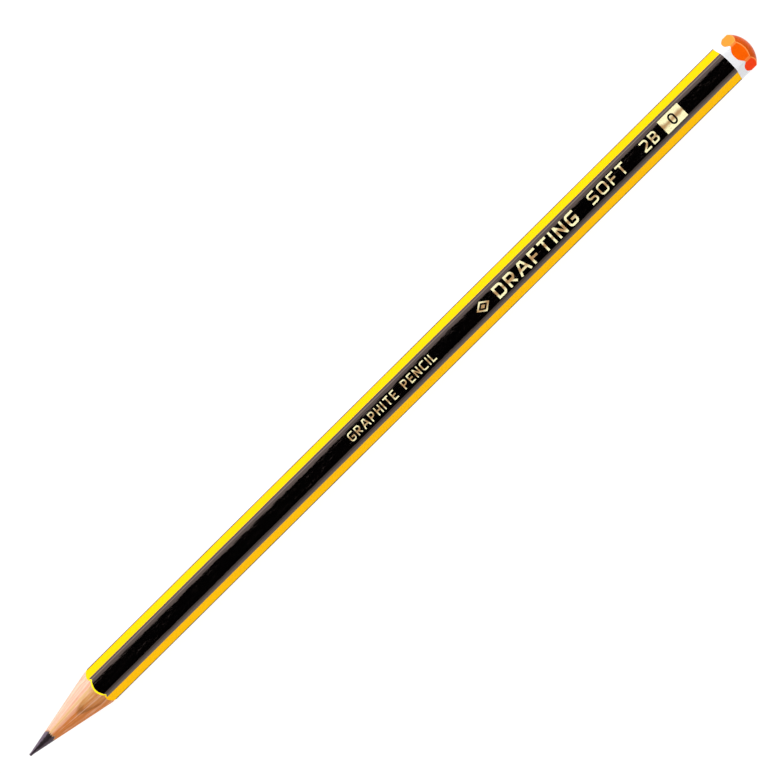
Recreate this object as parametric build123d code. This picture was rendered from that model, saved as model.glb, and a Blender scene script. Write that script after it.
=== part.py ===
from build123d import *

import os
from math import cos, radians, sin, sqrt, tan

# A sharpened hexagonal graphite pencil. It lies along X with its point at -X and its dipped end at +X,
# on the flat opposite the foil marks, which face +Z. Millimetres. The origin is the middle of the
# bottom of its box. Every piece is modelled about the pencil's axis and lifted to its height at the end.

# Driving dimensions
pencil_length = 175.0
wood_half_flat = 3.14  # axis to a flat of the bare wood
wood_corner_radius = 0.61
yellow_coat = 0.05
black_coat = 0.045
white_dip = 0.03
orange_dip = 0.04
lead_diameter = 2.3
glue_thickness = 0.05

# The sharpened cone, and the small round nose of the lead
cone_half_angle = 11.4
nose_radius = 0.2

# Sharpening scrapes the lacquers back in funnels that are steeper than the cone: an oval one for the
# yellow and the edge stripes, and a round one for the black faces. Each length is from the point to
# the coat on the upper and lower faces
yellow_scraped_length = 15.97
black_scraped_length = 16.14
scraped_half_angle = 38.7
scraped_oval = 0.83  # the oval's width over its height
black_scraped_angle = 34.3

# Painting
face_stripe_overlap = 0.34  # how far a black face stripe runs onto each yellow flat
edge_stripe_half_width = 0.29
white_dip_length = 5.0  # from the domed end, along the axis
orange_length_at_flat = 3.67
orange_length_at_corner = 2.97

# The domed end: each dip is thicker over the end than along the barrel
dome_radius = 4.8
end_coat = 0.1
dip_bite = 0.01  # how far the wet dip softens and sinks into the lacquers under it

# Foil marks: thickness, and where each begins and ends, measured from the point
foil_thickness = 0.02
small_line_span = (77.8, 98.3)
emblem_middle = 110.2
large_word_span = (113.2, 132.7)
second_word_span = (136.0, 144.7)
grade_span = (148.8, 152.4)
block_span = (153.8, 158.6)
block_width = 2.9
figure_height = 2.1
figure_width = 1.4
figure_stroke = 0.34
emblem_length = 3.0
emblem_width = 2.2
emblem_line = 0.36

# Worked out from the above
tip_x = -pencil_length / 2
end_x = pencil_length / 2
corner_centre_radius = (wood_half_flat - wood_corner_radius) / cos(radians(30))
dip_x = end_x - white_dip_length
black_outside = yellow_coat + black_coat
white_outside = black_outside + white_dip
orange_outside = white_outside + orange_dip
cap_half_flat = wood_half_flat + orange_outside
cap_half_corner = corner_centre_radius + wood_corner_radius + orange_outside
turning_radius = 1.08 * cap_half_corner  # clears the whole section, inside every dome
axis_height = cap_half_flat
groove_radius = lead_diameter / 2 + glue_thickness
letter_plane = Plane.XY.offset(wood_half_flat + black_outside)


def hexagonal_bar(coat, start_x=tip_x, stop_x=end_x):
    """A rounded hexagonal bar: the bare wood's section grown by the thickness of its coats."""
    hexagon = RegularPolygon(radius=corner_centre_radius, side_count=6)
    section = offset(hexagon, amount=wood_corner_radius + coat, kind=Kind.ARC)
    return extrude(Plane.YZ.offset(start_x) * section, amount=stop_x - start_x)


def lacquered_bar(coat):
    """The bar over its lacquer, which is a little thinner where the dip bites into it."""
    return hexagonal_bar(coat, tip_x, dip_x) + hexagonal_bar(coat - dip_bite, dip_x, end_x)


def round_bar(radius):
    """A round bar along the whole pencil's axis."""
    return extrude(Plane.YZ.offset(tip_x) * Circle(radius), amount=pencil_length)


def sharpened_blank(end_depth):
    """The turned shape that trims the bar: cone and nose in front, dome end_depth inside the outer one."""
    slope = radians(cone_half_angle)
    nose_x = tip_x + nose_radius
    nose_edge = (nose_x - nose_radius * sin(slope), nose_radius * cos(slope))
    nose_middle = (nose_x - nose_radius * cos(slope), nose_radius * sin(slope))
    cone_edge = (nose_edge[0] + (turning_radius - nose_edge[1]) / tan(slope), turning_radius)
    radius = dome_radius - end_depth
    centre_x = end_x - dome_radius
    dome_edge = (centre_x + sqrt(radius**2 - turning_radius**2), turning_radius)
    dome_middle = (centre_x + radius * cos(radians(30)), radius * sin(radians(30)))
    rear_end = (centre_x + radius, 0)
    outline = [
        ThreePointArc((tip_x, 0), nose_middle, nose_edge),
        Polyline(nose_edge, cone_edge, dome_edge),
        ThreePointArc(dome_edge, dome_middle, rear_end),
        Line(rear_end, (tip_x, 0)),
    ]
    return revolve(make_face(outline), Axis.X)


def slab(low_z, high_z):
    """A wide slab along the pencil between two heights about its axis."""
    width = 3 * cap_half_corner
    return Pos(0, 0, (low_z + high_z) / 2) * Box(pencil_length, width, high_z - low_z)


def face_stripe_region():
    """What the black stripe of the upper face covers: the face, its corners and a little beyond."""
    corner = radians(60)
    reach = wood_half_flat
    inner = (
        (corner_centre_radius + face_stripe_overlap) * cos(corner),
        (corner_centre_radius - face_stripe_overlap) * sin(corner),
    )
    outer = (inner[0] + reach * sin(corner), inner[1] + reach * cos(corner))
    right = [inner, outer, (outer[0], 2 * reach)]
    left = [(-y, z) for y, z in reversed(right)]
    section = make_face(Polyline(*right, *left, close=True))
    return extrude(Plane.YZ.offset(tip_x) * section, amount=pencil_length)


def oval_funnel(face_x):
    """An oval funnel that opens towards the domed end, and passes face_x at the wood's upper face."""
    ovals = []
    for x in (face_x - wood_half_flat / 2, end_x):
        half_width = scraped_oval * wood_half_flat + (x - face_x) * tan(radians(scraped_half_angle))
        ovals.append(Plane.YZ.offset(x) * Ellipse(half_width, half_width / scraped_oval))
    return loft(ovals, ruled=True)


def round_funnel(face_x, face_radius, lengthening):
    """A round funnel that opens towards the domed end. It passes face_x at face_radius, and reaches
    that much further along the pencil for each millimetre of radius."""
    narrow_end = (face_x - face_radius * lengthening, 0)
    wide_end = (face_x + (turning_radius - face_radius) * lengthening, turning_radius)
    outline = Polyline(narrow_end, wide_end, (end_x, turning_radius), (end_x, 0), close=True)
    return revolve(make_face(outline), Axis.X)


# Foil lettering. Each glyph is its width and the middle lines of its strokes, as fractions of its
# height, with the radius that rounds its corners.
ROUND = 0.24
SHARP = 0.0
GLYPHS = {
    "A": (0.80, SHARP, [[(0, 0), (0.28, 1), (0.52, 1), (0.80, 0)], [(0.16, 0.34), (0.64, 0.34)]]),
    "B": (0.58, ROUND, [[(0, 0), (0, 1)], [(0, 1), (0.58, 1), (0.58, 0.5), (0, 0.5)],
                        [(0, 0.5), (0.58, 0.5), (0.58, 0), (0, 0)]]),
    "C": (0.58, ROUND, [[(0.58, 1), (0, 1), (0, 0), (0.58, 0)]]),
    "D": (0.64, ROUND, [[(0, 0), (0, 1)], [(0, 1), (0.64, 1), (0.64, 0), (0, 0)]]),
    "E": (0.50, SHARP, [[(0.50, 1), (0, 1), (0, 0), (0.50, 0)], [(0, 0.5), (0.44, 0.5)]]),
    "F": (0.50, SHARP, [[(0.50, 1), (0, 1), (0, 0)], [(0, 0.48), (0.42, 0.48)]]),
    "G": (0.64, ROUND, [
        [(0.64, 1), (0, 1), (0, 0), (0.64, 0), (0.64, 0.46)],
        [(0.64, 0.46), (0.36, 0.46)],
    ]),
    "H": (0.58, SHARP, [[(0, 0), (0, 1)], [(0.58, 0), (0.58, 1)], [(0, 0.5), (0.58, 0.5)]]),
    "I": (0.0, SHARP, [[(0, 0), (0, 1)]]),
    "L": (0.46, SHARP, [[(0, 1), (0, 0), (0.46, 0)]]),
    "N": (0.60, SHARP, [[(0, 0), (0, 1)], [(0.60, 0), (0.60, 1)], [(0.08, 0.9), (0.52, 0.1)]]),
    "O": (0.66, ROUND, [
        [(0.33, 0), (0, 0), (0, 1), (0.33, 1)],
        [(0.33, 1), (0.66, 1), (0.66, 0), (0.33, 0)],
    ]),
    "P": (0.56, ROUND, [[(0, 0), (0, 1)], [(0, 1), (0.56, 1), (0.56, 0.44), (0, 0.44)]]),
    "R": (0.58, ROUND, [[(0, 0), (0, 1)], [(0, 1), (0.58, 1), (0.58, 0.46), (0, 0.46)],
                        [(0.26, 0.40), (0.53, 0.08)]]),
    "S": (0.58, ROUND, [[(0.58, 1), (0, 1), (0, 0.5), (0.58, 0.5), (0.58, 0), (0, 0)]]),
    "T": (0.60, SHARP, [[(0, 1), (0.60, 1)], [(0.30, 1), (0.30, 0)]]),
    "2": (0.58, ROUND, [[(0.02, 0.98), (0.58, 0.98), (0.58, 0.56), (0, 0.06)], [(0, 0), (0.58, 0)]]),
}
WORD_SPACE = 0.45


def stroke_shape(points, corner_radius, stroke):
    """One stroke: its middle line, lengthened by half its width at both ends, drawn out to its width."""
    line = [Vector(*point) for point in points]
    line[0] += (line[0] - line[1]).normalized() * stroke / 2
    line[-1] += (line[-1] - line[-2]).normalized() * stroke / 2
    if corner_radius > 0 and len(line) > 2:
        path = FilletPolyline(*line, radius=corner_radius)
    else:
        path = Polyline(*line)
    return trace(path, line_width=stroke)


def glyph_solid(letter, left_x, height, stroke, widening):
    """One letter of foil, its left edge at left_x, centred across the face."""
    _, corner, strokes = GLYPHS[letter]
    scale = height - stroke
    shapes = []
    for points in strokes:
        placed = [(left_x + stroke / 2 + u * widening * scale, (v - 0.5) * scale) for u, v in points]
        shapes.append(stroke_shape(placed, corner * scale, stroke))
    outline = shapes[0]
    for shape in shapes[1:]:
        outline += shape
    return extrude(letter_plane * outline.clean(), amount=foil_thickness)


def glyph_width(letter, height, stroke, widening):
    """How much of a line of letters one letter or space takes up."""
    if letter == " ":
        return WORD_SPACE * height
    return GLYPHS[letter][0] * widening * (height - stroke) + stroke


def foil_words(text, span, height, stroke, widening=1.0):
    """A line of foil letters that fills the span, with even gaps between them."""
    widths = [glyph_width(letter, height, stroke, widening) for letter in text]
    gap = (span[1] - span[0] - sum(widths)) / (len(text) - 1)
    solids = []
    left_x = tip_x + span[0]
    for letter, width in zip(text, widths):
        if letter != " ":
            solids += glyph_solid(letter, left_x, height, stroke, widening).solids()
        left_x += width + gap
    return Compound(children=solids)


def foil_block():
    """A foil block with an upright oval figure left bare in it."""
    length = block_span[1] - block_span[0]
    figure = SlotOverall(figure_height, figure_width, rotation=90)
    counter = SlotOverall(figure_height - 2 * figure_stroke, figure_width - 2 * figure_stroke, rotation=90)
    shape = Rectangle(length, block_width) - figure + counter
    middle = Pos(tip_x + (block_span[0] + block_span[1]) / 2, 0, 0)
    return extrude(letter_plane * middle * shape, amount=foil_thickness)


def lozenge(length, width):
    """A flat lozenge along the pencil."""
    return make_face(Polyline((-length / 2, 0), (0, width / 2), (length / 2, 0), (0, -width / 2), close=True))


def foil_emblem():
    """A plain lozenge with a smaller one in its middle."""
    inside = 1 - 2 * emblem_line / emblem_width
    core = inside / 2
    shape = lozenge(emblem_length, emblem_width) - lozenge(emblem_length * inside, emblem_width * inside)
    shape += lozenge(emblem_length * core, emblem_width * core)
    return extrude(letter_plane * Pos(tip_x + emblem_middle, 0, 0) * shape, amount=foil_thickness)


def build_nodes():
    """Every piece of the pencil, by the name of its node."""
    nodes = {}
    blank = sharpened_blank(2 * end_coat)
    bare_wood = hexagonal_bar(0) & blank
    seam = slab(-glue_thickness / 2, glue_thickness / 2)

    # Two slats, the lead in their grooves, and the glue between all three
    grooved = bare_wood - round_bar(groove_radius)
    nodes["wood_slat_upper"] = grooved & slab(glue_thickness / 2, cap_half_corner)
    nodes["wood_slat_lower"] = grooved & slab(-cap_half_corner, -glue_thickness / 2)
    nodes["graphite_core"] = round_bar(lead_diameter / 2) & blank
    nodes["glue_film"] = ((round_bar(groove_radius) + seam) - round_bar(lead_diameter / 2)) & bare_wood

    # Lacquers, cut with the wood
    yellow_bar = lacquered_bar(yellow_coat)
    yellow_envelope = yellow_bar & blank
    nodes["yellow_base_coat"] = yellow_envelope - hexagonal_bar(0)
    black_layer = (lacquered_bar(black_outside) - yellow_bar) & blank
    stripe_top = black_layer & face_stripe_region()
    edges = black_layer & slab(-edge_stripe_half_width, edge_stripe_half_width)
    nodes["black_stripe_top"] = stripe_top
    nodes["black_stripe_bottom"] = Rot(180, 0, 0) * stripe_top
    right_edge, left_edge = edges.solids().sort_by(Axis.Y)
    nodes["black_edge_stripe_left"] = left_edge
    nodes["black_edge_stripe_right"] = right_edge

    # The dips over the domed end
    painted = yellow_envelope
    for node_name, stripe in nodes.items():
        if node_name.startswith("black"):
            painted += stripe
    white_envelope = hexagonal_bar(white_outside, dip_x) & sharpened_blank(end_coat)
    orange_envelope = hexagonal_bar(orange_outside, dip_x) & sharpened_blank(0)
    nodes["white_dip_band"] = white_envelope - painted
    lengthening = (orange_length_at_flat - orange_length_at_corner) / (cap_half_corner - cap_half_flat)
    border = round_funnel(end_x - orange_length_at_flat, cap_half_flat, lengthening)
    nodes["orange_dip_cap"] = (orange_envelope - white_envelope) & border

    # Sharpening scrapes the lacquers back a little further than the wood
    nodes["yellow_base_coat"] &= oval_funnel(tip_x + yellow_scraped_length)
    black_x = tip_x + black_scraped_length
    lengthening = 1 / tan(radians(black_scraped_angle))
    for side in ("left", "right"):
        nodes[f"black_edge_stripe_{side}"] &= oval_funnel(black_x)
    for side in ("top", "bottom"):
        nodes[f"black_stripe_{side}"] &= round_funnel(black_x, wood_half_flat, lengthening)

    # Foil marks on the upper face
    nodes["foil_small_line"] = foil_words("GRAPHITE PENCIL", small_line_span, height=1.7, stroke=0.24)
    nodes["foil_emblem"] = foil_emblem()
    nodes["foil_large_word"] = foil_words("DRAFTING", large_word_span, height=2.4, stroke=0.42, widening=1.3)
    nodes["foil_second_word"] = foil_words("SOFT", second_word_span, height=2.1, stroke=0.33, widening=1.3)
    nodes["foil_grade_mark"] = foil_words("2B", grade_span, height=2.1, stroke=0.33, widening=1.15)
    nodes["foil_figure_block"] = foil_block()
    return nodes


os.makedirs("parts", exist_ok=True)
for node_name, shape in build_nodes().items():
    export_step(Pos(0, 0, axis_height) * shape, f"parts/{node_name}.step")
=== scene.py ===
"""Graphite pencil: the visual model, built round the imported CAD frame. Lengths are in metres."""
import math

import bmesh
import bpy
from mathutils import Matrix, Vector, noise


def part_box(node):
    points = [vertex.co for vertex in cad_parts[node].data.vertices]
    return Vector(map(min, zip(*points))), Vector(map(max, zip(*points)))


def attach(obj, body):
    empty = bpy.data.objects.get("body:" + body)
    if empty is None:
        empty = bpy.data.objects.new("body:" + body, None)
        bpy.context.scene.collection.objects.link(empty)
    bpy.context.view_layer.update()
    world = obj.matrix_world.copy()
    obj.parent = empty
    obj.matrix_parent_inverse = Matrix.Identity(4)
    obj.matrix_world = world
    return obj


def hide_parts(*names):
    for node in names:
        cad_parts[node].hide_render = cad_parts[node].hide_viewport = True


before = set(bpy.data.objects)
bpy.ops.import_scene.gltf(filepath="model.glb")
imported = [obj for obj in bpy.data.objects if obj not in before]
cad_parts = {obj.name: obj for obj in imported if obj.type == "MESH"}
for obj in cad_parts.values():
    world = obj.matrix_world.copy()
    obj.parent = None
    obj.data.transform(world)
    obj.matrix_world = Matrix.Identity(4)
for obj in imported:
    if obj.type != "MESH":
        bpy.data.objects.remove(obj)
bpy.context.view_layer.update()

MM = 0.001


# ---------------------------------------------------------------- the frame's sizes
def half_width(node):
    """Half of a node's width across the pencil."""
    low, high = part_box(node)
    return (high.y - low.y) / 2


def layer_sizes(flat_node, corner_node):
    """A layer's distance from the axis to its flats and to its rounded corners."""
    return (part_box(flat_node)[1].z - AXIS_Z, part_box(corner_node)[1].y)


core_low, core_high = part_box("graphite_core")
AXIS_Z = (core_low.z + core_high.z) / 2
TIP_X = core_low.x
END_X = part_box("orange_dip_cap")[1].x
DIP_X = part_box("white_dip_band")[0].x
APEX_X = TIP_X - 0.3 * MM  # a little ahead of the tip, where the streaks of the sharpened end meet

WOOD = layer_sizes("wood_slat_upper", "wood_slat_upper")
YELLOW = layer_sizes("yellow_base_coat", "yellow_base_coat")
BLACK = layer_sizes("black_stripe_top", "black_edge_stripe_left")
WHITE = layer_sizes("white_dip_band", "white_dip_band")
ORANGE = layer_sizes("orange_dip_cap", "orange_dip_cap")

LEAD_RADIUS = half_width("graphite_core")
GLUE = 2 * (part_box("wood_slat_upper")[0].z - AXIS_Z)
GROOVE_RADIUS = LEAD_RADIUS + GLUE

# The sharpened cone, which passes the groove's edge where the slats begin
WOOD_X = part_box("wood_slat_upper")[0].x
CONE_SLOPE = math.tan(math.radians(11.4))
NOSE_RADIUS = 0.2 * MM

# Sharpening scrapes the lacquers back in a steeper, oval funnel, which is narrower than it is high
YELLOW_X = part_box("yellow_base_coat")[0].x
BLACK_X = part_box("black_stripe_top")[0].x
SCRAPED_SLOPE = math.tan(math.radians(38.7))
SCRAPED_OVAL = 0.83

# The domes are parts of spheres, one inside the other, round one centre
DOME_X = END_X - 4.8 * MM
ORANGE_DOME = END_X - DOME_X
WHITE_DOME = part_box("white_dip_band")[1].x - DOME_X
WOOD_DOME = core_high.x - DOME_X

STRIPE_HALF_WIDTH = half_width("black_stripe_top")
EDGE_STRIPE_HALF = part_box("black_edge_stripe_left")[1].z - AXIS_Z

# The orange border reaches further along the flats than along the corners
ORANGE_FLAT_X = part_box("orange_dip_cap")[0].x
ORANGE_CORNER_X = END_X - 2.97 * MM


# ---------------------------------------------------------------- the pencil's surfaces
def section(layer, angle):
    """Distance from the axis to a layer: a hexagon whose flats swell softly into rounded corners.
    Angle 0 is the corner at +Y, and the middle of the flat with the foil marks is at 90 degrees."""
    flat, corner = layer
    power = math.log(2) / math.log(flat / (math.cos(math.radians(30)) * corner))
    total = 0.0
    for side in range(3):
        normal = math.radians(30 + 60 * side)
        total += abs(math.cos(angle - normal)) ** power
    return flat / total ** (1 / power)


def soft_min(a, b, sharpness=300):
    """The smaller of two radii, with a rounded edge where they meet."""
    low, high = sorted((a, b))
    return low * (1 + (low / high) ** sharpness) ** (-1 / sharpness)


def soft_max(a, b, blend=0.12 * MM):
    """The larger of two lengths, eased where they meet."""
    return (a + b + math.sqrt((a - b) ** 2 + blend ** 2)) / 2


def solve(function, low, high):
    """The place between low and high where a falling function reaches zero."""
    for _ in range(40):
        middle = (low + high) / 2
        if function(middle) > 0:
            low = middle
        else:
            high = middle
    return low


def cone_x(radius):
    """Where the sharpened cone has that radius."""
    return WOOD_X + (radius - GROOVE_RADIUS) / CONE_SLOPE


def scraped_x(angle, radius, face_x):
    """Where the scraped funnel that begins at face_x on the upper face has that radius at an angle."""
    oval_radius = radius * math.hypot(math.cos(angle), SCRAPED_OVAL * math.sin(angle))
    return face_x + (oval_radius - SCRAPED_OVAL * WOOD[0]) / SCRAPED_SLOPE


def point(x, angle, radius):
    """A point of the pencil: its place along the axis, angle round it and distance from it."""
    return Vector((x, radius * math.cos(angle), AXIS_Z + radius * math.sin(angle)))


def wander(x, angle, size, seed):
    """Smooth noise from -1 to 1 over the pencil's surface, with features of about that size."""
    place = Vector((x, WOOD[0] * math.cos(angle), WOOD[0] * math.sin(angle))) / size
    return noise.noise(place + Vector((seed * 17.3, seed * 5.1, seed * 9.7)))


def core_edge(angle):
    """The lead's radius, uneven where the wood's fibres tear at its edge."""
    tears = 0.5 * wander(0, angle, 1.7 * MM, 3) + 0.6 * wander(0, angle, 0.7 * MM, 4)
    return LEAD_RADIUS + 0.02 * MM + 0.2 * MM * tears


def spread(low, high, count):
    """Evenly spaced values, both ends included."""
    return [low + (high - low) * i / (count - 1) for i in range(count)]


def ring_angles(first=0.0, last=2 * math.pi, steps=24):
    """Angles round the hexagon from first up to last, closer together at its corners."""
    reach = math.radians(8)
    angles = []
    for corner in range(-1, 7):
        middle = corner * math.pi / 3
        angles += spread(middle - reach, middle + reach, steps)
        angles += spread(middle + reach, middle + math.pi / 3 - reach, steps)[1:-1]
    inside = [angle for angle in angles if first + 1e-6 < angle < last - 1e-6]
    return [first] + inside + [last]


RING = ring_angles()[:-1]


# ---------------------------------------------------------------- mesh building
def new_piece(name, vertices, faces, material, sharp_degrees=40):
    """A mesh object with merged vertices and outward normals, smooth but for its sharp edges."""
    mesh = bpy.data.meshes.new(name)
    mesh.from_pydata([tuple(v) for v in vertices], [], faces)
    work = bmesh.new()
    work.from_mesh(mesh)
    bmesh.ops.remove_doubles(work, verts=work.verts, dist=1e-8)
    bmesh.ops.recalc_face_normals(work, faces=work.faces)
    work.to_mesh(mesh)
    work.free()
    mesh.shade_smooth()
    mesh.set_sharp_from_angle(angle=math.radians(sharp_degrees))
    piece = bpy.data.objects.new(name, mesh)
    bpy.context.scene.collection.objects.link(piece)
    mesh.materials.append(material)
    return piece


def grid(surface, columns, rows, closed, start):
    """Vertices and quads of a surface given by column (an angle) and row (a station along it)."""
    vertices = [surface(angle, station) for station in rows for angle in columns]
    faces = []
    count = len(columns)
    for row in range(len(rows) - 1):
        for column in range(count if closed else count - 1):
            a = start + row * count + column
            b = start + row * count + (column + 1) % count
            faces.append((a, b, b + count, a + count))
    return vertices, faces


def solid(surface, columns, rows):
    """A closed body of one surface whose first and last rows are points on the axis."""
    return grid(surface, columns, rows, True, 0)


def shell(outer, inner, columns, rows, closed=True, pole=False):
    """A closed shell of two surfaces joined along their edges; with pole, the last row is a point."""
    vertices, faces = grid(outer, columns, rows, closed, 0)
    size = len(vertices)
    more_vertices, more_faces = grid(inner, columns, rows, closed, size)
    vertices += more_vertices
    faces += more_faces
    count = len(columns)
    end_rows = [0] if pole else [0, len(rows) - 1]
    for row in end_rows:
        for column in range(count if closed else count - 1):
            a = row * count + column
            b = row * count + (column + 1) % count
            faces.append((a, b, b + size, a + size))
    if not closed:
        for column in (0, count - 1):
            for row in range(len(rows) - 1):
                a = row * count + column
                faces.append((a, a + count, a + count + size, a + size))
    return vertices, faces


def prism(outline, low_z, high_z, start):
    """A flat body between two heights over an outline of (x, y) points."""
    count = len(outline)
    vertices = [Vector((x, y, z)) for z in (low_z, high_z) for x, y in outline]
    faces = [tuple(start + i for i in range(count)), tuple(start + count + i for i in range(count))]
    for i in range(count):
        a = start + i
        b = start + (i + 1) % count
        faces.append((a, b, b + count, a + count))
    return vertices, faces


# ---------------------------------------------------------------- materials
class Paint:
    """A material's node tree, with a short call for each kind of node that this scene uses."""

    def __init__(self, name, **shader):
        self.material = bpy.data.materials.new(name)
        self.material.use_nodes = True
        self.tree = self.material.node_tree
        self.shader = self.tree.nodes["Principled BSDF"]
        for socket, value in shader.items():
            self.shader.inputs[socket.replace("_", " ")].default_value = value
        place = self.add("ShaderNodeTexCoord").outputs["Object"]
        self.millimetres = self.mapped(place, (1 / MM, 1 / MM, 1 / MM))

    def add(self, kind, inputs=None, **properties):
        """A new node of that kind, with its inputs fed and its properties set."""
        node = self.tree.nodes.new(kind)
        for key, value in properties.items():
            setattr(node, key, value)
        for key, value in (inputs or {}).items():
            self.feed(node.inputs[key], value)
        return node

    def feed(self, socket, value):
        """Links a socket to another node's output, or sets it to a constant."""
        if isinstance(value, bpy.types.NodeSocket):
            self.tree.links.new(value, socket)
        else:
            socket.default_value = value

    def mapped(self, vector, scale, offset=(0, 0, 0)):
        """A vector scaled and then moved."""
        node = self.add("ShaderNodeMapping", {"Vector": vector, "Scale": scale, "Location": offset})
        return node.outputs["Vector"]

    def noise(self, size, detail=3.0, roughness=0.55, offset=(0, 0, 0), place=None):
        """Noise from 0 to 1, with features of that size, in millimetres unless another place is given."""
        vector = self.mapped(place or self.millimetres, tuple(1 / s for s in size), offset)
        inputs = {"Vector": vector, "Scale": 1.0, "Detail": detail, "Roughness": roughness}
        return self.add("ShaderNodeTexNoise", inputs).outputs["Fac"]

    def maths(self, operation, a, b=0.0, c=0.0):
        """One step of arithmetic on up to three values."""
        node = self.add("ShaderNodeMath", {0: a, 1: b, 2: c}, operation=operation)
        return node.outputs[0]

    def jitter(self, value, noise_value, amount):
        """A value moved up and down by noise, over that whole amount."""
        return self.maths("MULTIPLY_ADD", self.maths("SUBTRACT", noise_value, 0.5), amount, value)

    def slant(self):
        """A place that stays the same along straight lines from the cone's apex."""
        from_apex = self.mapped(self.millimetres, (1, 1, 1), (-APEX_X / MM, 0, -AXIS_Z / MM))
        share = self.maths("DIVIDE", 1.0, self.along((1, 0, 0), -APEX_X / MM))
        node = self.add("ShaderNodeVectorMath", {0: from_apex, "Scale": share}, operation="SCALE")
        return node.outputs["Vector"]

    def along(self, direction, offset=0.0):
        """How far each point lies in a direction, in millimetres, plus an offset."""
        inputs = {0: self.millimetres, 1: direction}
        node = self.add("ShaderNodeVectorMath", inputs, operation="DOT_PRODUCT")
        return self.maths("ADD", node.outputs["Value"], offset)

    def fade(self, value, low, high, to_low=0.0, to_high=1.0):
        """A value eased from to_low to to_high as it goes from low to high."""
        inputs = {
            "Value": value,
            "From Min": low,
            "From Max": high,
            "To Min": to_low,
            "To Max": to_high,
        }
        node = self.add("ShaderNodeMapRange", inputs, interpolation_type="SMOOTHSTEP")
        return node.outputs["Result"]

    def mix(self, share, a, b):
        """Colour a where share is 0, and b where it is 1."""
        node = self.add("ShaderNodeMix", data_type="RGBA")
        colours = [socket for socket in node.inputs if socket.type == "RGBA"]
        self.feed(node.inputs["Factor"], share)
        for socket, colour in zip(colours, (a, b)):
            self.feed(socket, colour if isinstance(colour, bpy.types.NodeSocket) else (*colour, 1.0))
        return [socket for socket in node.outputs if socket.type == "RGBA"][0]

    def colour(self, colour):
        self.feed(self.shader.inputs["Base Color"], colour)

    def roughness(self, value):
        self.feed(self.shader.inputs["Roughness"], value)

    def bump(self, height, distance):
        """Relief of that height in millimetres."""
        inputs = {"Height": height, "Distance": distance * MM, "Strength": 1.0}
        normal = self.add("ShaderNodeBump", inputs).outputs["Normal"]
        self.feed(self.shader.inputs["Normal"], normal)


def lacquer(name, colour, deeper, ior, rough):
    """Gloss lacquer: slow changes of tone, soft ripples, and faint handling marks along the barrel."""
    paint = Paint(name, IOR=ior)
    patches = paint.noise((9, 2.2, 2.2), detail=2)
    specks = paint.noise((0.16, 0.16, 0.16), detail=2, offset=(3, 0, 0))
    tone = paint.mix(paint.fade(patches, 0.3, 0.75), colour, deeper)
    worn = tuple(channel * 0.8 for channel in deeper)
    tone = paint.mix(paint.fade(specks, 0.72, 0.86, 0.0, 0.25), tone, worn)
    paint.colour(tone)
    scratches = paint.noise((5, 0.05, 0.05), detail=3, offset=(0, 7, 0))
    paint.roughness(paint.fade(scratches, 0.55, 0.8, rough, rough + 0.06))
    ripples = paint.noise((2.6, 0.9, 0.9), detail=2, offset=(0, 0, 5))
    height = paint.maths("MULTIPLY_ADD", scratches, 0.12, ripples)
    paint.bump(height, 0.01)
    return paint, tone


def black_lacquer(name, ior):
    """Black lacquer, whose reflections are a little warm."""
    paint, _ = lacquer(name, (0.0004, 0.0003, 0.0003), (0.0008, 0.0005, 0.0005), ior, 0.04)
    paint.shader.inputs["Specular Tint"].default_value = (1.0, 0.76, 0.68, 1.0)
    return paint.material


def yellow_lacquer():
    """Yellow lacquer, thin and bright where its scraped edge shows in front of a black stripe."""
    paint, tone = lacquer("lacquer_yellow", (0.97, 0.515, 0.0005), (0.95, 0.49, 0.0005), 1.06, 0.2)
    scraped = paint.fade(paint.along((1, 0, 0)), YELLOW_X / MM + 1.2, YELLOW_X / MM + 1.5, 1.0, 0.0)
    across = paint.maths("ABSOLUTE", paint.along((0, 1, 0)))
    scraped = paint.maths("MULTIPLY", scraped, paint.fade(across, 1.9, 2.1, 1.0, 0.0))
    paint.colour(paint.mix(scraped, tone, (1.0, 0.82, 0.01)))
    return paint.material


def white_lacquer():
    """White lacquer of the longer dip, a little cool."""
    paint, _ = lacquer("lacquer_white", (0.71, 0.72, 0.74), (0.68, 0.68, 0.70), 1.3, 0.12)
    return paint.material


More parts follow.
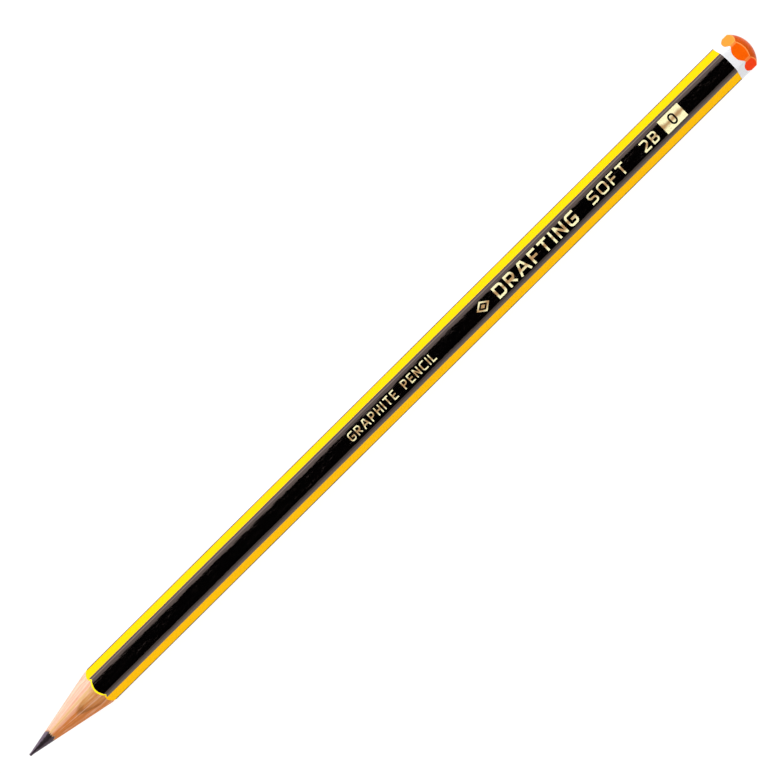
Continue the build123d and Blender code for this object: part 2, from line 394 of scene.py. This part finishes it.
def dipped_orange():
    """The orange dip, with painted light: lighter on the +Y side and redder on the -Y side, a painted
    shade on the dome, and painted highlights along its edges.
    """
    paint = Paint("lacquer_orange", IOR=1.08)
    across = paint.along((0, 1, 0))
    upward = paint.along((0, 0, 1), -AXIS_Z / MM)
    behind = paint.along((1, 0, 0), -DOME_X / MM)
    patches = paint.noise((1.6, 1.2, 1.2), detail=2)
    tone = paint.mix(paint.fade(patches, 0.3, 0.75), (0.80, 0.105, 0.0008), (0.77, 0.092, 0.0008))
    # Painted light and shade: the facet on the +Y side, towards the light, is lighter, and the facet on
    # the -Y side is redder and darker
    corner = ORANGE[0] / MM * math.tan(math.radians(30))
    tone = paint.mix(paint.fade(across, corner, corner + 0.1), tone, (0.88, 0.25, 0.03))
    tone = paint.mix(paint.fade(across, -corner, -corner - 0.1), tone, (0.86, 0.045, 0.0005))

    # How far each point is from the axis, towards the flats, and from the middle of the dome's sphere
    upward_squared = paint.maths("POWER", upward, 2)
    from_axis = paint.maths("SQRT", paint.maths("MULTIPLY_ADD", across, across, upward_squared))
    to_flats = paint.maths("ABSOLUTE", upward)
    for turn in (60, 120):
        normal = (0, math.sin(math.radians(turn)), math.cos(math.radians(turn)))
        reach = paint.along(normal, -normal[2] * AXIS_Z / MM)
        to_flats = paint.maths("MAXIMUM", to_flats, paint.maths("ABSOLUTE", reach))
    from_axis_squared = paint.maths("POWER", from_axis, 2)
    from_middle = paint.maths("SQRT", paint.maths("MULTIPLY_ADD", behind, behind, from_axis_squared))

    # Painted shade: the dome is darker and browner, and lightens towards the axis
    under_dome = paint.maths("SUBTRACT", ORANGE_DOME / MM, from_middle)
    under_flats = paint.maths("SUBTRACT", ORANGE[0] / MM, to_flats)
    painted_dome_shade = paint.mix(paint.fade(under_flats, 0.2, 2.2), (0.54, 0.070, 0.0005), (0.66, 0.11, 0.02))
    on_dome = paint.fade(paint.maths("SUBTRACT", under_flats, under_dome), 0.0, 0.06)
    tone = paint.mix(on_dome, tone, painted_dome_shade)

    # Painted highlight: lighter orange lines along the dome's edge and the barrel's corners
    from_edge = paint.maths("ADD", under_dome, under_flats)
    edges = paint.fade(from_edge, 0.04, 0.13, 0.7, 0.0)
    corners = paint.fade(from_axis, ORANGE[1] / MM - 0.09, ORANGE[1] / MM - 0.03, 0.0, 0.45)
    paint.colour(paint.mix(paint.maths("MAXIMUM", edges, corners), tone, (0.93, 0.34, 0.09)))
    scratches = paint.noise((1.2, 0.08, 0.08), detail=3, offset=(0, 7, 0))
    paint.roughness(paint.fade(scratches, 0.5, 0.8, 0.14, 0.3))
    paint.bump(patches, 0.01)
    return paint.material


def graphite():
    """Turned graphite: dark, with painted reflections as lighter strips along its two sides, fine rings
    from the sharpener and pores.
    """
    paint = Paint("graphite_turned", IOR=1.2)
    rings = paint.noise((0.09, 6, 6), detail=4, roughness=0.7)
    streaks = paint.noise((3, 0.16, 0.16), detail=3, offset=(2, 0, 0))
    pores = paint.noise((0.07, 0.07, 0.07), detail=2, offset=(0, 4, 0))
    from_apex = paint.along((1, 0, 0), -APEX_X / MM)
    lean = paint.maths("DIVIDE", paint.along((0, 1, 0)), from_apex)
    lean = paint.jitter(lean, streaks, 0.16)
    # Painted reflection: lighter purple-grey on the +Y side and mid grey on the -Y side, with a dark
    # middle between
    tone = paint.mix(paint.fade(lean, 0.075, 0.125), (0.013, 0.008, 0.010), (0.120, 0.088, 0.120))
    tone = paint.mix(paint.fade(lean, -0.07, -0.12), tone, (0.070, 0.050, 0.064))
    tone = paint.mix(paint.fade(rings, 0.5, 0.8, 0.0, 0.35), tone, (0.10, 0.078, 0.095))
    paint.colour(paint.mix(paint.fade(pores, 0.66, 0.78, 0.0, 0.8), tone, (0.008, 0.006, 0.007)))
    paint.roughness(paint.fade(rings, 0.3, 0.7, 0.3, 0.42))
    height = paint.maths("MULTIPLY_ADD", pores, -0.8, rings)
    paint.bump(height, 0.012)
    return paint.material


def cedar():
    """Sharpened wood: growth layers cut by the cone, and fibres that meet at its apex."""
    paint = Paint("cedar_sharpened", IOR=1.25)
    slant = paint.slant()  # noise on it is sized in shares of the distance from the apex
    fibres = paint.noise((1, 0.024, 0.024), detail=3, roughness=0.6, place=slant)
    threads = paint.noise((1, 0.05, 0.05), detail=2, offset=(0, 3, 0), place=slant)
    swells = paint.noise((5, 0.5, 0.5), detail=2)
    threads = paint.maths("DIVIDE", paint.maths("MULTIPLY_ADD", swells, 0.4, threads), 1.4)
    torn = paint.noise((1.6, 0.3, 0.3), detail=2, offset=(0, 0, 6))
    side = paint.jitter(paint.along((0, 1, 0)), threads, 1.1)

    # Growth layers lean across the pencil and dip along it
    lean = math.radians(15)
    dip = 0.072
    layer_offset = dip * TIP_X / MM - math.cos(lean) * AXIS_Z / MM
    layers = paint.along((-dip, -math.sin(lean), math.cos(lean)), layer_offset)
    depth = paint.jitter(layers, torn, 0.2)

    # Pinkish and paler on the +Y side of the cone and orange-brown on the other: partly the wood's own
    # tone and partly painted light, as the light falls from +Y. A creamy band lies between, which starts
    # beside the lead and drifts towards +Y
    base = paint.mix(paint.fade(side, -0.5, 0.6), (0.57, 0.185, 0.042), (0.77, 0.44, 0.33))
    band_start = (TIP_X / MM + 5, 0.3)
    band_drift = 0.055
    band = paint.along((-band_drift, 1, 0), band_drift * band_start[0] - band_start[1])
    band = paint.maths("ABSOLUTE", paint.jitter(band, torn, 0.4))
    base = paint.mix(paint.fade(band, 0.05, 0.5, 0.7, 0.0), base, (0.62, 0.41, 0.14))

    # The next growth layer shows as a darker tongue, with a dark line along its lower edge
    layer_border = 1.68
    tongue = paint.mix(paint.fade(depth, 1.6, 2.2), (0.46, 0.155, 0.035), (0.56, 0.225, 0.07))
    # Partly painted light too: the tongue is lighter on the +Y side
    tongue = paint.mix(paint.fade(side, -0.9, 0.6), tongue, (0.62, 0.34, 0.12))
    lower = paint.fade(side, 0.1, 1.1, 1.0, 0.0)
    inside = paint.fade(depth, layer_border - 0.12, layer_border)
    base = paint.mix(paint.maths("MULTIPLY", inside, lower), base, tongue)
    from_border = paint.maths("ABSOLUTE", paint.maths("SUBTRACT", depth, layer_border))
    line = paint.fade(side, -0.35, 0.4, 0.9, 0.0)
    line = paint.maths("MULTIPLY", paint.fade(from_border, 0.0, 0.17, 1.0, 0.0), line)
    base = paint.mix(line, base, (0.30, 0.105, 0.02))

    # Darker fibres and paler threads over everything
    dark = paint.mix(0.5, base, (0.44, 0.13, 0.035))
    base = paint.mix(paint.fade(fibres, 0.45, 0.62, 0.0, 0.75), base, dark)
    pale = paint.mix(0.42, base, (0.94, 0.70, 0.55))
    base = paint.mix(paint.fade(threads, 0.5, 0.66, 0.0, 0.6), base, pale)
    paint.colour(base)
    paint.roughness(paint.fade(fibres, 0.3, 0.7, 0.55, 0.8))
    paint.bump(paint.maths("MULTIPLY_ADD", threads, 0.5, fibres), 0.03)
    return paint.material


def glue():
    """The thin line of dried glue."""
    paint = Paint("glue_dried", IOR=1.45)
    grains = paint.noise((0.3, 0.1, 0.1))
    paint.colour(paint.mix(grains, (0.42, 0.24, 0.12), (0.24, 0.12, 0.06)))
    paint.roughness(paint.fade(grains, 0.3, 0.7, 0.5, 0.7))
    return paint.material


def foil():
    """Hot-stamped pale gold foil, with a painted reflection: browner in a wandering band along its middle
    and cream towards its edges.
    """
    paint = Paint("foil_pale_gold", Metallic=0.5)
    bands = paint.noise((2.4, 3, 6), detail=2)
    mottle = paint.noise((0.35, 0.22, 0.22), detail=4, offset=(5, 0, 0))
    across = paint.maths("ABSOLUTE", paint.along((0, 1, 0)))
    across = paint.jitter(across, bands, 1.6)
    # Painted reflection: brown along the middle, where the dark gap overhead would reflect, and cream
    # towards the edges, where the lights would
    tone = paint.mix(paint.fade(across, 0.05, 0.75), (0.46, 0.27, 0.11), (1.0, 0.94, 0.55))
    paint.colour(paint.mix(paint.fade(mottle, 0.5, 0.75, 0.0, 0.45), tone, (0.40, 0.26, 0.11)))
    paint.roughness(paint.fade(mottle, 0.35, 0.7, 0.34, 0.55))
    paint.bump(mottle, 0.02)
    return paint.material


def floor_finish():
    """A floor whose own glow makes it nearly white, so that the pencil's shadow hardly shows."""
    paint = Paint("floor_white", IOR=1.3, Emission_Strength=0.93)
    grain = paint.noise((40, 40, 40), detail=2)
    paint.colour(paint.mix(grain, (0.10, 0.10, 0.10), (0.12, 0.12, 0.12)))
    paint.shader.inputs["Emission Color"].default_value = (1, 1, 1, 1)
    paint.shader.inputs["Roughness"].default_value = 0.9
    return paint.material


# ---------------------------------------------------------------- the pieces
def lead_piece(material):
    """The turned lead: a worn blunt nose, the cone with the sharpener's rings, and the hidden rod."""
    slope = math.atan(CONE_SLOPE)
    wear = 0.07 * MM
    nose_radius = NOSE_RADIUS + wear
    nose_rows = [("nose", turn) for turn in spread(0, math.pi / 2 - slope, 9)]
    cone_rows = [("cone", share) for share in spread(0, 1, 70)[1:]]
    rod_rows = [("rod", 0.0), ("end", 0.0)]

    def surface(angle, station):
        part, share = station
        edge = core_edge(angle)
        nose_edge = nose_radius * math.cos(slope)
        if part == "nose":
            radius = nose_radius * math.sin(share)
            chips = 0.02 * MM * (1 + wander(0, angle, 0.9 * MM, 5))
            worn = chips * math.sin(share) * math.sin(2 * share)
            blunt = (1 - math.cos(share)) * (share / (math.pi / 2 - slope)) ** 2
            return point(TIP_X + nose_radius * blunt + worn, angle, radius)
        if part == "cone":
            radius = nose_edge + (edge - nose_edge) * share
            x = cone_x(radius)
            ridge = 0.006 * MM * wander(x, 0, 0.16 * MM, 6) * math.sin(math.pi * share)
            return point(x, angle, radius + ridge)
        if part == "rod":
            return point(core_high.x, angle, edge)
        return point(core_high.x, angle, 0.0)

    angles = spread(0, 2 * math.pi, 181)[:-1]
    rows = nose_rows + cone_rows + rod_rows
    return new_piece("lead_core", *solid(surface, angles, rows), material)


def slat_piece(name, below, material):
    """One slat: fibrous cone in front, barrel under the lacquers, domed end, and the groove inside."""
    rows = [("cone", share) for share in spread(0, 1, 60)]
    rows += [("barrel", share) for share in spread(0, 1, 12)[1:]]
    rows += [("end", share) for share in spread(0, 1, 8)[1:]]

    def along_outside(angle, station):
        part, share = station
        groove = core_edge(angle) + GLUE
        bar = section(WOOD, angle)
        rear_x = DOME_X + math.sqrt(WOOD_DOME ** 2 - bar ** 2)
        if part == "cone":
            radius = groove + (bar - groove) * share
            fibre = wander(cone_x(radius) * 0.04, angle, 0.09 * MM, 8)
            return cone_x(radius), radius + 0.012 * MM * fibre * math.sin(math.pi * share)
        if part == "barrel":
            return cone_x(bar) + (rear_x - cone_x(bar)) * share, bar
        radius = bar + (groove - bar) * share
        return DOME_X + math.sqrt(WOOD_DOME ** 2 - radius ** 2), radius

    def on_seam(x, angle, radius):
        place = point(x, angle, radius)
        height = max(abs(place.z - AXIS_Z), GLUE / 2)
        place.z = AXIS_Z + (-height if below else height)
        return place

    def outer(angle, station):
        x, radius = along_outside(angle, station)
        return on_seam(x, angle, radius)

    def inner(angle, station):
        x, _ = along_outside(angle, station)
        return on_seam(x, angle, core_edge(angle) + GLUE)

    start = math.pi if below else 0.0
    angles = ring_angles(start, start + math.pi)
    return new_piece(name, *shell(outer, inner, angles, rows, closed=False), material)


def glue_piece(material):
    """The glue round the lead, and the two films in the seam between the slats."""
    def outer(angle, share):
        start = cone_x(core_edge(angle) + GLUE)
        return point(start + (core_high.x - start) * share, angle, core_edge(angle) + GLUE)

    def inner(angle, share):
        start = cone_x(core_edge(angle))
        return point(start + (core_high.x - start) * share, angle, core_edge(angle))

    vertices, faces = shell(outer, inner, spread(0, 2 * math.pi, 181)[:-1], spread(0, 1, 6))
    for angle, side in ((0.0, 1), (math.pi, -1)):
        near = core_edge(angle) + GLUE
        far = section(WOOD, angle)
        rear = DOME_X + math.sqrt(WOOD_DOME ** 2 - far ** 2)
        outline = [
            (cone_x(near), side * near),
            (cone_x(far), side * far),
            (rear, side * far),
            (rear, side * near),
        ]
        more_vertices, more_faces = prism(outline, AXIS_Z - GLUE / 2, AXIS_Z + GLUE / 2, len(vertices))
        vertices += more_vertices
        faces += more_faces
    return new_piece("glue_lines", vertices, faces, material)


def lacquer_rows():
    """Stations along a long coat: close together near the sharpened end."""
    return [(i / 150) ** 1.35 for i in range(151)]


def coat_surface(layer, face_x, seed, border=None):
    """A long coat's surface, from its scraped and slightly ragged edge to the white dip's dome."""
    def surface(angle, share):
        radius = section(layer, angle)
        fine_nicks = 0.03 * MM * wander(0, angle, 0.28 * MM, seed)
        coarse_nicks = 0.04 * MM * wander(0, angle, 1.3 * MM, seed)
        start = soft_max(cone_x(radius), scraped_x(angle, radius, face_x)) + (fine_nicks + coarse_nicks)
        stop = DOME_X + math.sqrt(WOOD_DOME ** 2 - radius ** 2)
        x = start + (stop - start) * share
        if border is not None:
            angle = border(angle, x)
            radius = section(layer, angle)
        if layer is WOOD:
            return point(x, angle, radius)
        wave = 0.004 * MM * wander(x, angle, 3.5 * MM, seed + 1)
        return point(x, angle, radius + wave)
    return surface


def yellow_piece(material):
    """The yellow coat, all the way round the wood."""
    outer = coat_surface(YELLOW, YELLOW_X, 11)
    inner = coat_surface(WOOD, YELLOW_X, 11)
    return new_piece("yellow_coat", *shell(outer, inner, RING, lacquer_rows()), material)


def stripe_piece(name, first, last, seed, material):
    """A black stripe over the yellow between two angles, its borders wandering a little."""
    middle = (first + last) / 2

    def border(angle, x):
        share = (angle - middle) / (last - middle)
        drift = 0.035 * MM * wander(x, first if share < 0 else last, 4.5 * MM, seed + 2)
        drift += 0.02 * MM * wander(x, first if share < 0 else last, 0.8 * MM, seed + 3)
        return angle + share ** 9 * drift / BLACK[0]

    outer = coat_surface(BLACK, BLACK_X, seed, border)
    inner = coat_surface(YELLOW, BLACK_X, seed, border)
    angles = ring_angles(first, last)
    vertices, faces = shell(outer, inner, angles, lacquer_rows(), closed=False)
    return new_piece(name, vertices, faces, material)


def dip_piece(name, layer, under, dome, under_dome, border_x, border_seed, material):
    """A dipped coat over the domed end, with a soft lip at its border."""
    lip = 0.14 * MM
    wide = 1.12 * layer[1]
    rows = [("lip", turn) for turn in spread(0, math.pi / 2, 7)]
    rows += [("barrel", share) for share in spread(0, 1, 26)[1:]]
    rows += [("dome", share) for share in spread(1, 0, 110)[1:]]

    def surface(size, ball, is_outer):
        def place(angle, station):
            part, share = station
            radius = section(size, angle)
            foot = section(under, angle)
            drift = 0.05 * MM * wander(0, angle, 1.2 * MM, border_seed)
            start = border_x(angle) + drift
            shoulder = DOME_X + math.sqrt(ball ** 2 - wide ** 2)
            if part == "lip":
                rise = math.sin(share) if is_outer else 0.0
                x = start + lip * (1 - math.cos(share))
                return point(x, angle, foot + (radius - foot) * rise)
            if part == "barrel":
                x = start + lip + (shoulder - start - lip) * share
            else:
                x = DOME_X + math.sqrt(ball ** 2 - (wide * share) ** 2)
            from_axis = math.sqrt(max(ball ** 2 - (x - DOME_X) ** 2, 0.0))
            return point(x, angle, soft_min(radius, from_axis))
        return place

    outer = surface(layer, dome, True)
    inner = surface(under, under_dome, False)
    return new_piece(name, *shell(outer, inner, RING, rows, pole=True), material)


def orange_border(angle):
    """The orange border scallops: furthest along the middle of each flat."""
    share = (section(ORANGE, angle) - ORANGE[0]) / (ORANGE[1] - ORANGE[0])
    return ORANGE_FLAT_X + (ORANGE_CORNER_X - ORANGE_FLAT_X) * share ** 1.4


def white_border(angle):
    """The white border runs a little further along the sides."""
    return DIP_X - 0.2 * MM * math.cos(angle) ** 2


def place_piece(piece, slot, *nodes):
    """The piece rides on the pencil's one body and stands for its CAD nodes."""
    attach(piece, "root")
    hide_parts(*nodes)


def build_pencil():
    """Every visible piece, each in the place of its CAD node. The foil marks keep their CAD meshes."""
    black = black_lacquer("lacquer_black", 1.85)
    edge_black = black_lacquer("lacquer_black_edges", 1.1)
    yellow = yellow_lacquer()
    white = white_lacquer()
    orange = dipped_orange()
    wood = cedar()

    place_piece(lead_piece(graphite()), "graphite", "graphite_core")
    place_piece(slat_piece("slat_upper", False, wood), "wood", "wood_slat_upper")
    place_piece(slat_piece("slat_lower", True, wood), "wood", "wood_slat_lower")
    place_piece(glue_piece(glue()), "glue", "glue_film")
    place_piece(yellow_piece(yellow), "yellow_lacquer", "yellow_base_coat")

    edge = solve(lambda a: section(BLACK, a) * math.cos(a) - STRIPE_HALF_WIDTH, 0.0, math.pi / 2)
    top = stripe_piece("stripe_top", edge, math.pi - edge, 21, black)
    place_piece(top, "black_lacquer", "black_stripe_top")
    bottom = stripe_piece("stripe_bottom", math.pi + edge, 2 * math.pi - edge, 31, black)
    place_piece(bottom, "black_lacquer", "black_stripe_bottom")
    reach = solve(lambda a: EDGE_STRIPE_HALF - section(BLACK, a) * math.sin(a), 0.0, math.pi / 6)
    left = stripe_piece("edge_stripe_left", -reach, reach, 41, edge_black)
    place_piece(left, "black_lacquer", "black_edge_stripe_left")
    right = stripe_piece("edge_stripe_right", math.pi - reach, math.pi + reach, 51, edge_black)
    place_piece(right, "black_lacquer", "black_edge_stripe_right")

    dip = dip_piece("white_dip", WHITE, BLACK, WHITE_DOME, WOOD_DOME, white_border, 61, white)
    place_piece(dip, "white_lacquer", "white_dip_band")
    cap = dip_piece("orange_dip", ORANGE, WHITE, ORANGE_DOME, WHITE_DOME, orange_border, 62, orange)
    place_piece(cap, "orange_lacquer", "orange_dip_cap")

    gold = foil()
    for name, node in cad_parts.items():
        if name.startswith("foil"):
            node.data.materials.clear()
            node.data.materials.append(gold)


# ---------------------------------------------------------------- floor, light and camera
def build_floor():
    """A wide flat floor under the pencil."""
    reach = 20.0
    corners = [(-reach, -reach, 0), (reach, -reach, 0), (reach, reach, 0), (-reach, reach, 0)]
    mesh = bpy.data.meshes.new("floor")
    mesh.from_pydata(corners, [], [(0, 1, 2, 3)])
    mesh.materials.append(floor_finish())
    floor = bpy.data.objects.new("floor", mesh)
    bpy.context.scene.collection.objects.link(floor)


def softbox(name, start, stop, radiance):
    """A long softbox beside the pencil. It covers the directions between two angles from overhead,
    in degrees, which count towards +Y."""
    distance = 0.6
    length = 2.4
    width = 2 * distance * math.tan(math.radians(stop - start) / 2)
    data = bpy.data.lights.new(name, "AREA")
    data.shape = "RECTANGLE"
    data.size = length
    data.size_y = width
    data.energy = radiance * math.pi * width * length
    light = bpy.data.objects.new(name, data)
    bpy.context.scene.collection.objects.link(light)
    turn = Matrix.Rotation(-math.radians(start + stop) / 2, 4, "X")
    light.matrix_world = Matrix.Translation((0, 0, AXIS_Z)) @ turn @ Matrix.Translation((0, 0, distance))


def build_light():
    """A strong light on the +Y side, softer ones overhead and on the -Y side, and a dark gap overhead."""
    softbox("key_softbox", 43, 86, 2.8)
    softbox("top_softbox", 1.8, 43, 1.25)
    softbox("fill_softbox", -40, -6, 0.75)
    softbox("side_softbox", -84, -40, 1.25)


def build_world():
    """A pale glow round the horizon, and darkness above it."""
    world = bpy.data.worlds.new("studio")
    world.use_nodes = True
    nodes = world.node_tree.nodes
    links = world.node_tree.links
    direction = nodes.new("ShaderNodeTexCoord").outputs["Generated"]
    height = nodes.new("ShaderNodeSeparateXYZ")
    fade = nodes.new("ShaderNodeMapRange")
    fade.interpolation_type = "SMOOTHSTEP"
    glow = {"From Min": 0.1, "From Max": 0.35, "To Min": 0.5, "To Max": 0.0}
    for socket, value in glow.items():
        fade.inputs[socket].default_value = value
    links.new(direction, height.inputs["Vector"])
    links.new(height.outputs["Z"], fade.inputs["Value"])
    links.new(fade.outputs["Result"], nodes["Background"].inputs["Strength"])
    nodes["Background"].inputs["Color"].default_value = (1, 1, 1, 1)
    bpy.context.scene.world = world
    bpy.context.scene.view_settings.view_transform = "Standard"


def build_camera():
    """A long lens straight above the pencil, which runs diagonally across the picture."""
    distance = 1.0
    frame_width = 134.0 * MM
    turn = math.radians(44.745)
    right = Vector((math.cos(turn), -math.sin(turn), 0))
    up = Vector((math.sin(turn), math.cos(turn), 0))
    back = Vector((0, 0, 1))
    data = bpy.data.cameras.new("camera")
    data.sensor_width = 36
    data.lens = data.sensor_width * distance / frame_width
    camera = bpy.data.objects.new("camera", data)
    bpy.context.scene.collection.objects.link(camera)
    place = Vector((0, 0, AXIS_Z)) - 0.33 * MM * right + 2.10 * MM * up + distance * back
    axes = Matrix((right, up, back)).transposed().to_4x4()
    camera.matrix_world = Matrix.Translation(place) @ axes
    bpy.context.scene.camera = camera


build_pencil()
build_floor()
build_light()
build_world()
build_camera()
